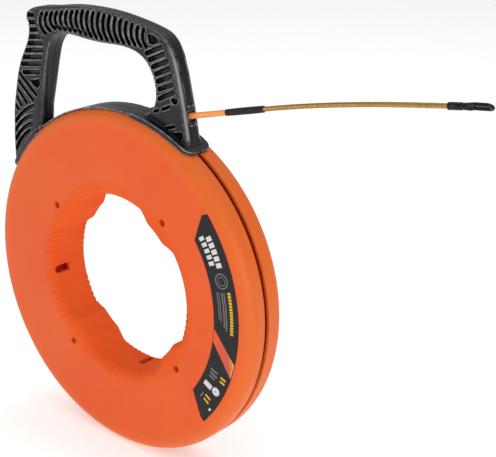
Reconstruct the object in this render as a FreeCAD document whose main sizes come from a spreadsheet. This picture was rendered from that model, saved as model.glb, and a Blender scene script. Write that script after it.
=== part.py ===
"""Fish tape reel: a two-shell annular case that turns inside a split carrying handle,
with a coil of glass-fibre tape whose leader and pulling eye stand out of the handle.

Frame: origin on the ground under the case's centre, +X the way the tape leaves, +Z up,
+Y from the labelled face to the rear face. Drawing coordinates are (x, z) from the
case's centre, and every sub-part's Placement lifts it by the case radius.
"""
import FreeCAD, Part
import math
import os
import Sketcher
from FreeCAD import Placement, Rotation, Vector

doc = FreeCAD.newDocument("FishTapeReel")

# ---------------------------------------------------------------- driving sizes, mm and degrees
SIZES = {
    "case_radius": 152.4,
    "case_depth": 41.6,
    "shell_wall": 2.5,
    "rim_round": 10.0,
    "bay_round": 7.0,
    "bay_radius": 79.8,
    "bump_radius": 73.5,
    "bump_flat": 8.0,
    "bump_spread": 16.5,
    "bay_turn": 5.75,
    "hub_wall": 4.0,
    "hole_corner_round": 6.0,
    "seam_y": -1.3,
    "rim_slot": 6.0,
    "screw_circle": 90.44,
    "boss_radius": 5.5,
    "case_screw_radius": 1.7,
    "case_head_radius": 3.0,
    "case_head_depth": 8.0,
    "view_slot_width": 6.0,
    "view_slot_length": 12.5,
    "label_recess": 0.5,
    "label_thick": 0.4,
    "label_inner": 113.3,
    "label_outer": 139.0,
    "handle_half": 8.5,
    "handle_round": 3.0,
    "opening_round": 1.2,
    "opening_floor": 154.4,
    "saddle_gap": 0.4,
    "foot_half": 14.8,
    "foot_outer": 155.6,
    "foot_nose_round": 9.0,
    "band_half": 13.0,
    "band_outer": 153.8,
    "rib_slot_depth": 5.0,
    "rib_slot_width": 4.0,
    "shoe_neck_half": 2.4,
    "shoe_flange_half": 7.5,
    "shoe_flange_outer": 149.5,
    "shoe_flange_inner": 146.6,
    "shoe_top": 157.5,
    "tape_diameter": 4.76,
    "tape_channel": 6.4,
    "tape_angle": 13.7,
    "bushing_width": 11.0,
    "bushing_height": 9.6,
    "bushing_length": 7.0,
    "window_recess": 3.0,
    "ferrule_diameter": 5.6,
    "leader_diameter": 3.8,
    "leader_core_diameter": 1.8,
    "sleeve_diameter": 5.6,
    "sleeve_length": 11.0,
    "eye_length": 23.0,
    "eye_width": 9.0,
    "eye_rod": 2.6,
    "coil_inner": 108.0,
    "coil_outer": 133.0,
    "coil_half_width": 16.6,
    "coil_round": 2.4,
    "handle_screw_radius": 1.25,
    "handle_head_radius": 2.4,
    "handle_head_height": 1.8,
}

sheet = doc.addObject("Spreadsheet::Sheet", "Sizes")
for row, (alias, value) in enumerate(SIZES.items(), start=1):
    sheet.set(f"A{row}", alias)
    sheet.set(f"B{row}", str(value))
    sheet.setAlias(f"B{row}", alias)
doc.recompute()


def size(alias):
    return float(sheet.get(alias))


RADIUS = size("case_radius")
HALF_DEPTH = size("case_depth") / 2
SEAM = size("seam_y")
WALL = size("shell_wall")
LIFT = Placement(Vector(0, 0, RADIUS), Rotation())
TO_Y = Rotation(Vector(1, 0, 0), -90)
TOWARDS_REAR = Vector(0, 1, 0)

# ---------------------------------------------------------------- outlines, (x, z) from the case centre
HANDLE_REAR_EDGE = [(-137.2, 80), (-137.6, 95), (-136.5, 117.5), (-134.1, 136.5), (-130.5, 152), (-126, 168),
                    (-119.5, 182), (-111, 197.5), (-109, 205), (-111.5, 215)]
HANDLE_TOP_EDGE = [(-110.5, 220.5), (-103.5, 224.5), (-82, 228), (-61.8, 230.8), (-32, 232.3), (-1.7, 230.8),
                   (20, 227.6), (40, 223.4), (49.7, 219.7), (56.5, 213.7), (62.4, 204.3), (66.6, 191.4),
                   (72.8, 164.5), (79, 131)]
OPENING_EDGE = [(-97.5, 119.9), (-95.5, 139.5), (-91.5, 157.5), (-87, 179.5), (-82, 195.5), (-76.5, 202.5),
                (-68, 206.8), (-57, 207.8), (-22, 205.6), (8, 205.8), (22, 203.2), (31, 198.5), (38, 190),
                (42.3, 178), (42.3, 168), (39.5, 160.5), (33, 155.2), (17, 153.5)]

# Rib slots: the ends, or three points of a curved one.
def grip_slot(k):
    """Slot k of the grip, counted from the front: top, middle and lower end, inside both rounds."""
    crown = math.sin(min(k, 9) * math.pi / 18)
    low_x = 33.5 - 6.3 * k
    over_opening = max(0, 1 - ((low_x + 57) / 32) ** 2)
    return [(31 - 6.33 * k, 222.2 + 6.9 * crown - max(0, k - 11) * 0.95),
            (29.6 - 6.42 * k, 217.5 + 4.5 * crown - max(0, k - 12) * 0.85),
            (low_x, 209.2 + 2.3 * over_opening - max(0, k - 17) * 2.2)]


GRIP_SLOTS = [grip_slot(k) for k in range(20)]
FRONT_SLOTS = [[(33.5, 204), (50, 211)], [(36.5, 199), (52.5, 206)], [(40, 194), (56, 200.8)],
               [(43, 188.6), (58.5, 195.4)], [(45, 183), (60, 189.3)], [(46.5, 177), (61.5, 183)],
               [(46.2, 169.1), (62.5, 176.8)]]
FRONT_SLITS = [[(49.8, 161.2), (58.2, 164.9)], [(41.2, 158), (45.2, 159.9)], [(52.2, 146), (62.6, 149.2)]]
REAR_SLOTS = [[(-107.8, 218.5), (-101, 219)], [(-107.4, 212), (-99, 213)], [(-105.9, 205.7), (-97, 207)],
              [(-107.3, 199.5), (-94, 201.2)], [(-109.8, 193.6), (-91, 196)], [(-113.3, 187), (-91, 190)],
              [(-116.8, 180.6), (-93, 183.8)], [(-119.8, 174), (-95, 177.6)], [(-118, 166.8), (-97, 170.2)]]
FOOT_SLOTS = [[(-123.6, 165.4), (-114, 157.5), (-103, 149)], [(-125.7, 158.4), (-117, 151), (-108, 143.8)],
              [(-127.6, 150.8), (-122, 145.2), (-116.6, 140)], [(-129.6, 143.2), (-124.2, 136.7)],
              [(-131, 135), (-128.6, 132.2)],
              [(-133, 120.2), (-120, 131.5), (-107, 138.5)], [(-133.7, 111.8), (-121.5, 123.5), (-109, 129)],
              [(-134, 103.5), (-123, 115), (-110, 121.8)], [(-134.4, 94.5), (-126, 105.5), (-114.5, 114.5)]]
POCKETS = [[(34.6, 219), (39.5, 219.8), (46.4, 217.4), (47.6, 214.6), (40.6, 211.6), (36.2, 212.2)],
           [(58.7, 170.2), (60.9, 172.3), (66.4, 172.6), (66.8, 169.8), (64.6, 167.2), (60.8, 167.5)],
           [(58, 143.6), (70.6, 146.2), (72, 141.8), (68.6, 137.2)],
           [(-111, 161.4), (-105.5, 161.6), (-97, 164.2), (-96, 159.8), (-100, 155), (-105.6, 156.4)]]

# Tape route outside the handle: a straight start, then a gentle droop to the pulling eye.
TAPE_ROUTE = [(75.0, 158.7), (128.0, 171.6), (182.0, 184.3), (236.0, 194.3), (274.0, 200.1), (302.0, 204.0)]
TAPE_INSIDE = 82.0
FREE_TAPE = 36.0
FERRULE_LENGTH = 38.0

# Where the tape's inner end is held, on the rear shell.
ANCHOR_RADIUS = 99.0
ANCHOR_ANGLE = 275.0


# ---------------------------------------------------------------- helpers
def at(x, z, y=0.0):
    """Point from drawing coordinates."""
    return Vector(x, y, z)


def polar(radius, degrees, y=0.0):
    return Vector(radius * math.cos(math.radians(degrees)), y, radius * math.sin(math.radians(degrees)))


def bind(thing, **expressions):
    for name, expression in expressions.items():
        thing.setExpression(name, expression)
    return thing


def rod(name, radius, height, start_y, x=0.0, z=0.0):
    """Cylinder along +Y whose sizes are sheet expressions, from start_y."""
    thing = doc.addObject("Part::Cylinder", name)
    bind(thing, Radius=radius, Height=height)
    thing.Placement = Placement(Vector(x, start_y, z), TO_Y)
    return thing


def barrel(radius, length, x, z, low_y):
    """Cylinder along +Y as a plain shape."""
    return Part.makeCylinder(radius, length, at(x, z, low_y), TOWARDS_REAR)


def feature(name, shape):
    thing = doc.addObject("Part::Feature", name)
    thing.Shape = shape
    return thing


def cut(name, base, tool):
    thing = doc.addObject("Part::Cut", name)
    thing.Base = base
    thing.Tool = tool
    return thing


def common(name, base, tool):
    thing = doc.addObject("Part::Common", name)
    thing.Base = base
    thing.Tool = tool
    return thing


def fuse(name, things):
    thing = doc.addObject("Part::MultiFuse", name)
    thing.Shapes = things
    thing.Refine = False
    return thing


def sector(inner, outer, low_y, high_y, start, end):
    """Part of a ring about the case axis, between two angles."""
    def slab(radius):
        wedge = Part.makeCylinder(radius, high_y - low_y, Vector(), Vector(0, 0, 1), end - start)
        wedge.rotate(Vector(), Vector(0, 0, 1), start)
        wedge.rotate(Vector(), Vector(1, 0, 0), 90)
        wedge.translate(Vector(0, high_y, 0))
        return wedge
    return slab(outer).cut(slab(inner))


def spline(points, y=0.0):
    curve = Part.BSplineCurve()
    curve.interpolate([at(x, z, y) for x, z in points])
    return curve.toShape()


def arc(radius, start, middle, end, y=0.0):
    return Part.Arc(polar(radius, start, y), polar(radius, middle, y), polar(radius, end, y)).toShape()


def slot_face(points, width, y):
    """A round-ended slot along a straight or curved centre line."""
    half = width / 2
    if len(points) == 2:
        first, last = (at(x, z, y) for x, z in points)
        along = (last - first).normalize()
        side = Vector(-along.z, 0, along.x) * half
        cap_end = last + along * half
        cap_start = first - along * half
        edges = [Part.LineSegment(first + side, last + side),
                 Part.Arc(last + side, cap_end, last - side),
                 Part.LineSegment(last - side, first - side),
                 Part.Arc(first - side, cap_start, first + side)]
        return Part.Face(Part.Wire([edge.toShape() for edge in edges]))
    first, middle, last = (at(x, z, y) for x, z in points)
    centre = Part.Arc(first, middle, last).toShape().Curve.Center
    inward = {}
    for key, point in (("first", first), ("middle", middle), ("last", last)):
        inward[key] = (centre - point).normalize() * half
    turn = 1 if (middle - first).cross(last - middle).y > 0 else -1
    start_dir = Vector(inward["first"].z, 0, -inward["first"].x) * turn
    end_dir = Vector(-inward["last"].z, 0, inward["last"].x) * turn
    near = Part.Arc(first + inward["first"], middle + inward["middle"], last + inward["last"])
    far = Part.Arc(last - inward["last"], middle - inward["middle"], first - inward["first"])
    caps = [Part.Arc(last + inward["last"], last + end_dir, last - inward["last"]),
            Part.Arc(first - inward["first"], first + start_dir, first + inward["first"])]
    return Part.Face(Part.Wire([near.toShape(), caps[0].toShape(), far.toShape(), caps[1].toShape()]))


def polygon_face(points, y):
    ring = [at(x, z, y) for x, z in points]
    return Part.Face(Part.makePolygon(ring + ring[:1]))


def plane_of(body, role):
    return next(item for item in body.Origin.OriginFeatures if item.Role == role)


def value_of(expression):
    """Number of an expression that adds, subtracts or halves sheet cells."""
    probe = doc.addObject("App::FeaturePython", "Probe")
    probe.addProperty("App::PropertyFloat", "Value")
    probe.setExpression("Value", expression)
    doc.recompute()
    number = probe.Value
    doc.removeObject(probe.Name)
    return number


def turned_body(name, corners, placement):
    """Body turned about its own X axis from corners (along, radius), each a sheet expression."""
    body = doc.addObject("PartDesign::Body", name)
    sketch = body.newObject("Sketcher::SketchObject", name + "_profile")
    sketch.AttachmentSupport = (plane_of(body, "XY_Plane"), [""])
    sketch.MapMode = "FlatFace"
    spots = [Vector(value_of(along), value_of(radius), 0) for along, radius in corners]
    count = len(spots)
    for k in range(count):
        sketch.addGeometry(Part.LineSegment(spots[k], spots[(k + 1) % count]), False)
    for k in range(count):
        sketch.addConstraint(Sketcher.Constraint("Coincident", k, 2, (k + 1) % count, 1))
    for k, (along, radius) in enumerate(corners):
        sides = (("DistanceX", along, spots[k].x), ("DistanceY", radius, spots[k].y))
        for kind, expression, number in sides:
            index = sketch.addConstraint(Sketcher.Constraint(kind, -1, 1, k, 1, number))
            sketch.setExpression(f"Constraints[{index}]", expression)
    turn = body.newObject("PartDesign::Revolution", name + "_turn")
    turn.Profile = sketch
    turn.ReferenceAxis = (sketch, ["H_Axis"])
    turn.Angle = 360
    body.Placement = placement
    return body


NODES = []


def node(thing, label, placement=None):
    """Give a finished sub-part its file name and its place."""
    thing.Label = label
    if placement is not None:
        thing.Placement = placement
    NODES.append(thing)
    return thing


# ---------------------------------------------------------------- case
def hole_outline(grow, y):
    """Central hole: four wide bays between four bumps that carry the screws."""
    bay = size("bay_radius") + grow
    bump = size("bump_radius") + grow
    flat = size("bump_flat")
    spread = size("bump_spread")
    edges = []
    for quarter in range(4):
        middle = 45 + 90 * quarter + size("bay_turn")
        edges.append(arc(bump, middle - flat, middle, middle + flat, y))
        edges.append(Part.makeLine(polar(bump, middle + flat, y), polar(bay, middle + spread, y)))
        edges.append(arc(bay, middle + spread, middle + 45, middle + 90 - spread, y))
        edges.append(Part.makeLine(polar(bay, middle + 90 - spread, y), polar(bump, middle + 90 - flat, y)))
    return Part.Wire(edges)


def hole_prism(grow, low_y, high_y):
    """The hole as a solid plug, with its lengthwise corners rounded."""
    plug = Part.Face(hole_outline(grow, low_y)).extrude(Vector(0, high_y - low_y, 0))
    corners = [edge for edge in plug.Edges if abs(edge.BoundBox.YLength - (high_y - low_y)) < 1e-6]
    return plug.makeFillet(size("hole_corner_round"), corners)


def case_form():
    """Closed outer form of both shells together."""
    disc = rod("case_disc", "Sizes.case_radius", "Sizes.case_depth", -HALF_DEPTH)
    plug = feature("case_plug", hole_prism(0, -HALF_DEPTH - 1, HALF_DEPTH + 1))
    ring = cut("case_ring", disc, plug)
    doc.recompute()
    form = doc.addObject("Part::Fillet", "case_form")
    form.Base = ring
    picks = []
    for number, edge in enumerate(ring.Shape.Edges, start=1):
        box = edge.BoundBox
        if box.YLength > 1e-6:
            continue
        reach = max(math.hypot(v.Point.x, v.Point.z) for v in edge.Vertexes)
        round_size = size("rim_round") if reach > RADIUS - 1 else size("bay_round")
        picks.append((number, round_size, round_size))
    form.Edges = picks
    return form


def rim_form(grow):
    """The case's outer drum without its hole, grown all round."""
    half = HALF_DEPTH + grow
    drum = barrel(RADIUS + grow, 2 * half, 0, 0, -half)
    rims = [edge for edge in drum.Edges if edge.Closed and edge.Length > 6 * RADIUS]
    return drum.makeFillet(size("rim_round") + grow, rims)


def case_cavity():
    """Annular room for the coil, a wall inside the outer form."""
    hub = hole_prism(size("hub_wall"), -HALF_DEPTH, HALF_DEPTH)
    return feature("case_cavity", rim_form(-WALL).cut(hub))


def screw_spots():
    return [polar(size("screw_circle"), 45 + 90 * k + size("bay_turn")) for k in range(4)]


def case_shell(label, hollow, side):
    """One shell: side -1 is the labelled front, +1 the rear."""
    outer_y = side * HALF_DEPTH
    low_y, high_y = sorted((SEAM, side * 2 * HALF_DEPTH))
    half_space = doc.addObject("Part::Box", label + "_half")
    half_space.Length = 4 * RADIUS
    half_space.Height = 4 * RADIUS
    half_space.Width = high_y - low_y
    half_space.Placement = Placement(Vector(-2 * RADIUS, low_y, -2 * RADIUS), Rotation())
    half = common(label + "_raw", hollow, half_space)
    gap_low, gap_high = sorted((SEAM - side * 1.0, SEAM + side * size("rim_slot") / 2))
    tools = [sector(RADIUS - 3 * WALL, RADIUS + 1, gap_low, gap_high, 0, 360)]
    for spot in screw_spots():
        tools.append(barrel(size("case_screw_radius"), 15, spot.x, spot.z, SEAM - 1))
        if side < 0:
            tools.append(barrel(size("case_screw_radius"), HALF_DEPTH, spot.x, spot.z, outer_y))
            well = size("case_head_depth") + 1
            tools.append(barrel(size("case_head_radius"), well, spot.x, spot.z, outer_y - 1))
    if side < 0:
        recess = label_outline(0.3, outer_y - 1)
        tools.append(recess.extrude(Vector(0, 1 + size("label_recess"), 0)))
        tools.extend(view_slots())
    return cut(label, half, feature(label + "_cuts", Part.Compound(tools)))


def view_slots():
    """One window in the hub wall at the middle of each bay, open at the seam."""
    tools = []
    width = size("view_slot_width")
    length = size("view_slot_length")
    for quarter in range(4):
        start = at(size("bay_radius") - 5, 0, SEAM - length)
        slot = Part.makeBox(14, length, width, start - Vector(0, 0, width / 2))
        tip = Part.makeCylinder(width / 2, 14, start, Vector(1, 0, 0))
        opening = slot.fuse(tip)
        opening.rotate(Vector(), TOWARDS_REAR, -(90 * quarter + size("bay_turn")))
        tools.append(opening)
    return tools


def label_outline(grow, y):
    """Crescent label between two arcs: a blunt upper end and a slanted lower one."""
    inner = size("label_inner") - grow
    outer = size("label_outer") + grow
    upper = 39.8 + grow / 2.4
    lower = -43.3 - grow / 2.4
    upper_inside = polar(outer - 6.0, upper + 1.0, y)
    lower_inside = polar(outer - 5.0, lower, y)
    edges = [arc(inner, -37.8, 0, 34.6, y), Part.makeLine(polar(inner, 34.6, y), upper_inside),
             Part.makeLine(upper_inside, polar(outer, upper, y)), arc(outer, upper, 0, lower, y),
             Part.makeLine(polar(outer, lower, y), lower_inside),
             Part.makeLine(lower_inside, polar(inner, -37.8, y))]
    return Part.Face(Part.Wire(edges))


def make_case():
    form = case_form()
    hollow_core = cut("case_hollow", form, case_cavity())
    bosses = [rod(f"boss_{k}", "Sizes.boss_radius", "Sizes.case_depth - 2 * Sizes.shell_wall + 1",
                  WALL - HALF_DEPTH - 0.5, spot.x, spot.z) for k, spot in enumerate(screw_spots())]
    hollow = fuse("case_with_bosses", [hollow_core] + bosses)
    node(case_shell("case_front_shell", hollow, -1), "case_front_shell", LIFT)
    node(case_shell("case_rear_shell", hollow, 1), "case_rear_shell", LIFT)
    label = label_outline(0, -HALF_DEPTH + size("label_recess") - size("label_thick"))
    node(feature("front_label", label.extrude(Vector(0, size("label_thick"), 0))), "front_label", LIFT)


def screw(radius, length, head_radius, head_height):
    """Pan-head screw along +Y with its head's underside at the origin and a cross recess."""
    shank = barrel(radius, length, 0, 0, 0)
    head = barrel(head_radius, head_height, 0, 0, -head_height)
    top = [edge for edge in head.Edges if edge.Closed and edge.BoundBox.YMax < 0]
    head = head.makeFillet(head_height * 0.4, top)
    body = head.fuse(shank)
    for angle in (0, 90):
        corner = at(-head_radius * 0.6, -0.3, -head_height)
        bar = Part.makeBox(head_radius * 1.2, head_height * 0.6, 0.6, corner)
        bar.rotate(Vector(), TOWARDS_REAR, angle)
        body = body.cut(bar)
    return body


def make_case_screws():
    screws = []
    for spot in screw_spots():
        one = screw(size("case_screw_radius") - 0.05, 18.0, size("case_head_radius") - 0.3, 2.0)
        one.translate(Vector(spot.x, size("case_head_depth") - HALF_DEPTH, spot.z))
        screws.append(one)
    node(feature("case_screws", Part.Compound(screws)), "case_screws", LIFT)


# ---------------------------------------------------------------- handle
def angle_of(point):
    return math.degrees(math.atan2(point[1], point[0]))


def handle_plate(side):
    """Outline of the handle, one half thick, with the edges of its outer face rounded."""
    inner = RADIUS + size("saddle_gap")
    floor = size("opening_floor")
    across = Vector(0, side * size("handle_half"), 0)
    foot_front = angle_of(HANDLE_TOP_EDGE[-1])
    foot_rear = angle_of(HANDLE_REAR_EDGE[0])
    outside = [spline(HANDLE_REAR_EDGE, SEAM),
               Part.makeLine(at(*HANDLE_REAR_EDGE[-1], SEAM), at(*HANDLE_TOP_EDGE[0], SEAM)),
               spline(HANDLE_TOP_EDGE, SEAM),
               Part.makeLine(at(*HANDLE_TOP_EDGE[-1], SEAM), polar(inner, foot_front, SEAM)),
               arc(inner, foot_front, (foot_front + foot_rear) / 2, foot_rear, SEAM),
               Part.makeLine(polar(inner, foot_rear, SEAM), at(*HANDLE_REAR_EDGE[0], SEAM))]
    first, last = OPENING_EDGE[0], OPENING_EDGE[-1]
    middle = polar(floor, (angle_of(first) + angle_of(last)) / 2, SEAM)
    opening = [spline(OPENING_EDGE, SEAM), Part.Arc(at(*last, SEAM), middle, at(*first, SEAM)).toShape()]
    body = Part.Face(Part.Wire(outside)).extrude(across)
    body = body.makeFillet(size("handle_round"), face_edges(body, SEAM + across.y)[:3])
    plate = body.cut(Part.Face(Part.Wire(opening)).extrude(across))
    rim = [edge for edge in face_edges(plate, SEAM + across.y)
           if any(abs(math.hypot(v.Point.x, v.Point.z) - floor) < 0.3 for v in edge.Vertexes)]
    plate = plate.makeFillet(size("opening_round"), rim)
    reach = size("handle_half") + 1
    return plate.cut(sector(size("band_outer") - 0.2, RADIUS + 5, SEAM - reach, SEAM + reach, 85.0, 126.5))


def face_edges(solid, y):
    """Edges that lie in the plane at y."""
    return [edge for edge in solid.Edges
            if abs(edge.BoundBox.YMin - y) < 1e-4 and abs(edge.BoundBox.YMax - y) < 1e-4]


def saddle(side):
    """Curved base that rides over the rim: wide round-nosed feet with a thinner band between them."""
    outer_y = SEAM + side * size("foot_half")
    parts = []
    for start, end, nose in ((57.5, 83.0, 57.5), (127.0, 149.6, 149.6)):
        foot = sector(RADIUS - 8, size("foot_outer"), *sorted((SEAM, outer_y)), start, end)
        tip = polar(RADIUS, nose, outer_y)
        corner = [edge for edge in foot.Edges if edge.distToShape(Part.Vertex(tip))[0] < 1e-4
                  and edge.BoundBox.YLength < 1e-6 and edge.Length < 20]
        parts.append(foot.makeFillet(size("foot_nose_round"), corner))
    band_y = SEAM + side * size("band_half")
    parts.append(sector(RADIUS - 8, size("band_outer"), *sorted((SEAM, band_y)), 82.0, 128.0))
    return parts[0].fuse(parts[1:]).cut(rim_form(size("saddle_gap")))


def rib_tools(side):
    """All the moulded slots and pockets of one handle face."""
    face_y = SEAM + side * (size("handle_half") + 0.5)
    depth = Vector(0, -side * (size("rib_slot_depth") + 0.5), 0)
    width = size("rib_slot_width")
    wide_slots = GRIP_SLOTS + FRONT_SLOTS + REAR_SLOTS
    tools = [slot_face(points, width, face_y).extrude(depth) for points in wide_slots]
    tools += [slot_face(points, width * 0.95, face_y).extrude(depth) for points in FOOT_SLOTS]
    tools += [slot_face(points, width * 0.65, face_y).extrude(depth) for points in FRONT_SLITS]
    tools += [polygon_face(points, face_y).extrude(depth) for points in POCKETS]
    return tools


HANDLE_SCREW_SPOTS = [(-94.8, 218.5), (55.8, 209), (68.8, 151), (-103, 133.5)]


def tape_axis():
    """Exit point and direction of the tape, in the seam plane."""
    angle = math.radians(size("tape_angle"))
    return at(*TAPE_ROUTE[0], SEAM), Vector(math.cos(angle), 0, math.sin(angle))


def channel_tool():
    """The straight way of the tape through the front leg."""
    exit_point, along = tape_axis()
    length = TAPE_INSIDE + 16
    return Part.makeCylinder(size("tape_channel") / 2, length + 10, exit_point - along * length, along)


def bushing_box(clearance, reach=0.0):
    """Rectangular bushing in the front leg's exit window; reach carries it out through the leg."""
    exit_point, _ = tape_axis()
    width = size("bushing_width") + 2 * clearance
    height = size("bushing_height") + 2 * clearance
    length = size("bushing_length")
    start_x = exit_point.x - size("window_recess") - length
    corner = at(start_x, exit_point.z - height / 2 - 0.5, SEAM - width / 2)
    return Part.makeBox(length + reach, width, height, corner)


def shoe_shape(start, end, clearance):
    """T-section guide shoe: a neck through the rim slot and a flange behind the rim lips."""
    bottom = size("shoe_flange_inner")
    neck_half = size("shoe_neck_half") + clearance
    flange_half = size("shoe_flange_half")
    start -= clearance
    end += clearance
    neck = sector(bottom, size("shoe_top") + clearance, SEAM - neck_half, SEAM + neck_half, start, end)
    flange = sector(bottom, size("shoe_flange_outer"), SEAM - flange_half, SEAM + flange_half, start, end)
    return neck.fuse(flange)


SHOES = {"front_guide_shoe": (61.0, 70.5), "rear_guide_shoe": (131.5, 147.5)}


def make_handle():
    for label, side in (("handle_front_half", -1), ("handle_rear_half", 1)):
        half = handle_plate(side).fuse(saddle(side))
        tools = rib_tools(side) + [channel_tool(), bushing_box(0.05, 10.0)]
        for start, end in SHOES.values():
            tools.append(shoe_shape(start, end, 0.02))
        for x, z in HANDLE_SCREW_SPOTS:
            tools.append(barrel(size("handle_screw_radius"), 13.0, x, z, SEAM - 6.5))
            if side > 0:
                tools.append(barrel(size("handle_head_radius") + 0.2, 8, x, z, SEAM + 6.0))
        node(feature(label, half.cut(tools)), label, LIFT)


def make_shoes():
    for label, (start, end) in SHOES.items():
        shoe = shoe_shape(start, end, 0).cut(channel_tool())
        node(feature(label, shoe), label, LIFT)


def make_handle_screws():
    screws = []
    for x, z in HANDLE_SCREW_SPOTS:
        radius = size("handle_screw_radius") - 0.05
        one = screw(radius, 12.0, size("handle_head_radius"), size("handle_head_height"))
        one.rotate(Vector(), Vector(0, 0, 1), 180)
        one.translate(at(x, z, SEAM + 6.0))
        screws.append(one)
    node(feature("handle_screws", Part.Compound(screws)), "handle_screws", LIFT)


def make_bushing():
    exit_point, along = tape_axis()
    bore = Part.makeCylinder(3.05, 40, exit_point - along * 25, along)
    node(feature("exit_bushing", bushing_box(0).cut(bore)), "exit_bushing", LIFT)


# ---------------------------------------------------------------- tape
def route_path(points):
    """Straight runs joined by tangent arcs, as edges, with the arcs' radii."""
    spots = [at(x, z, SEAM) for x, z in points]
    edges = []
    radii = []
    start = spots[0]
    for before, corner, after in zip(spots, spots[1:], spots[2:]):
        into = (corner - before).normalize()
        out = (after - corner).normalize()
        turn = into.getAngle(out)
        shorter = min((corner - before).Length, (after - corner).Length)
        radius = 0.45 * shorter / math.tan(turn / 2)
        trim = 0.45 * shorter
        first = corner - into * trim
        last = corner + out * trim
        bisector = (out - into).normalize()
        middle = corner + bisector * (radius / math.cos(turn / 2) - radius)
        edges.append(Part.LineSegment(start, first).toShape())
        edges.append(Part.Arc(first, middle, last).toShape())
        radii.append(radius)
        start = last
    edges.append(Part.LineSegment(start, spots[-1]).toShape())
    return edges, radii


def stretch(path, start, end):
    """The part of a path between two distances along it."""
    edges = []
    done = 0.0
    for edge in path:
        low = max(start - done, 0)
        high = min(end - done, edge.Length)
        if high - low > 1e-6:
            first = edge.getParameterByLength(low)
            last = edge.getParameterByLength(high)
            edges.append(edge.Curve.toShape(first, last))
        done += edge.Length
    return Part.Wire(edges)


def tube(wire, diameter):
    """Round bar swept along a wire, checked against section times length."""
    start = wire.Edges[0]
    direction = start.tangentAt(start.FirstParameter)
    ring = Part.Wire(Part.makeCircle(diameter / 2, start.valueAt(start.FirstParameter), direction))
    solid = wire.makePipeShell([ring], True, False)
    expected = math.pi * diameter ** 2 / 4 * wire.Length
    print(f"tube of {wire.Length:.1f} mm: volume {solid.Volume:.0f} against {expected:.0f}")
    return solid


def make_tape():
    path, radii = route_path(TAPE_ROUTE)
    total = sum(edge.Length for edge in path)
    print("route", round(total, 1), "mm, radii", [round(radius) for radius in radii])
    exit_point, along = tape_axis()
    inner_end = exit_point - along * TAPE_INSIDE
    inner = Part.makeCylinder(size("tape_diameter") / 2, TAPE_INSIDE, inner_end, along)
    node(feature("tape_inside", inner), "tape_inside", LIFT)
    node(feature("tape_free", tube(stretch(path, 0, FREE_TAPE), size("tape_diameter"))), "tape_free", LIFT)
    ferrule_end = FREE_TAPE + FERRULE_LENGTH
    ferrule = tube(stretch(path, FREE_TAPE, ferrule_end), size("ferrule_diameter"))
    node(feature("ferrule", ferrule), "ferrule", LIFT)
    leader = stretch(path, ferrule_end, total)
    core = tube(leader, size("leader_core_diameter"))
    node(feature("leader_core", core), "leader_core", LIFT)
    winding = tube(leader, size("leader_diameter")).cut(tube(leader, size("leader_core_diameter")))
    node(feature("spiral_leader", winding), "spiral_leader", LIFT)
    make_eyelet(path[-1])


def make_eyelet(last_edge):
    """Pulling eye: a sleeve over the leader's end, a neck and an elongated loop."""
    end = last_edge.valueAt(last_edge.LastParameter)
    along = last_edge.tangentAt(last_edge.LastParameter)
    pitch = math.degrees(math.atan2(along.z, along.x))
    pose = Placement(end + Vector(0, 0, RADIUS), Rotation(TOWARDS_REAR, -pitch))
    sleeve = turned_body("eye_sleeve", [("0", "0"), ("0", "Sizes.sleeve_diameter / 2 - 0.4"),
                                        ("0.4", "Sizes.sleeve_diameter / 2"),
                                        ("Sizes.sleeve_length", "Sizes.sleeve_diameter / 2"),
                                        ("Sizes.sleeve_length", "0")], pose)
    node(sleeve, "eye_sleeve")
    rod_half = size("eye_rod") / 2
    reach = size("eye_length")
    bend = size("eye_width") / 2 - rod_half
    start_x = size("sleeve_length")
    neck = Part.makeCylinder(size("sleeve_diameter") / 2 - 0.5, 5.0, Vector(start_x, 0, 0), Vector(1, 0, 0))
    near_x = start_x + 6.5
    far_x = start_x + reach - size("eye_width") / 2
    loop_edges = [Part.LineSegment(Vector(near_x, bend, 0), Vector(far_x, bend, 0)),
                  Part.Arc(Vector(far_x, bend, 0), Vector(far_x + bend, 0, 0), Vector(far_x, -bend, 0)),
                  Part.LineSegment(Vector(far_x, -bend, 0), Vector(near_x, -bend, 0)),
                  Part.Arc(Vector(near_x, -bend, 0), Vector(near_x - bend, 0, 0), Vector(near_x, bend, 0))]
    loop = Part.Wire([edge.toShape() for edge in loop_edges])
    ring = Part.Wire(Part.makeCircle(rod_half, Vector(near_x, bend, 0), Vector(1, 0, 0)))
    eye = loop.makePipeShell([ring], True, False).fuse(neck)
    node(feature("pulling_eye", eye), "pulling_eye", pose)


def make_coil():
    """Stored tape: one closed solid of the outer shape of the winding."""
    outer = size("coil_outer")
    inner = size("coil_inner")
    half = size("coil_half_width")
    ring = barrel(outer, 2 * half, 0, 0, -half).cut(barrel(inner, 2 * half, 0, 0, -half))
    circles = [edge for edge in ring.Edges if edge.Closed and edge.BoundBox.YLength < 1e-6]
    node(feature("tape_coil", ring.makeFillet(size("coil_round"), circles)), "tape_coil", LIFT)


def make_anchor():
    """Clip and screw that hold the tape's inner end against the rear shell."""
    floor_y = HALF_DEPTH - WALL
    clip = Part.makeBox(12, 6, 9, Vector(-6, -6, -4.5))
    groove = Part.makeCylinder(size("tape_diameter") / 2, 14, Vector(-7, -2.6, -1.2), Vector(1, 0, 0))
    hole = barrel(size("handle_screw_radius"), 12, 0, 3.0, -7)
    fastener = screw(size("handle_screw_radius") - 0.05, 6.0, 2.5, 1.4)
    fastener.translate(Vector(0, -6, 3.0))
    turn = Rotation(TOWARDS_REAR, 90 - ANCHOR_ANGLE)
    place = LIFT.multiply(Placement(polar(ANCHOR_RADIUS, ANCHOR_ANGLE, floor_y), turn))
    node(feature("tape_anchor_clip", clip.cut([groove, hole])), "tape_anchor_clip", place)
    node(feature("tape_anchor_screw", Part.Compound([fastener])), "tape_anchor_screw", place)


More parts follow.
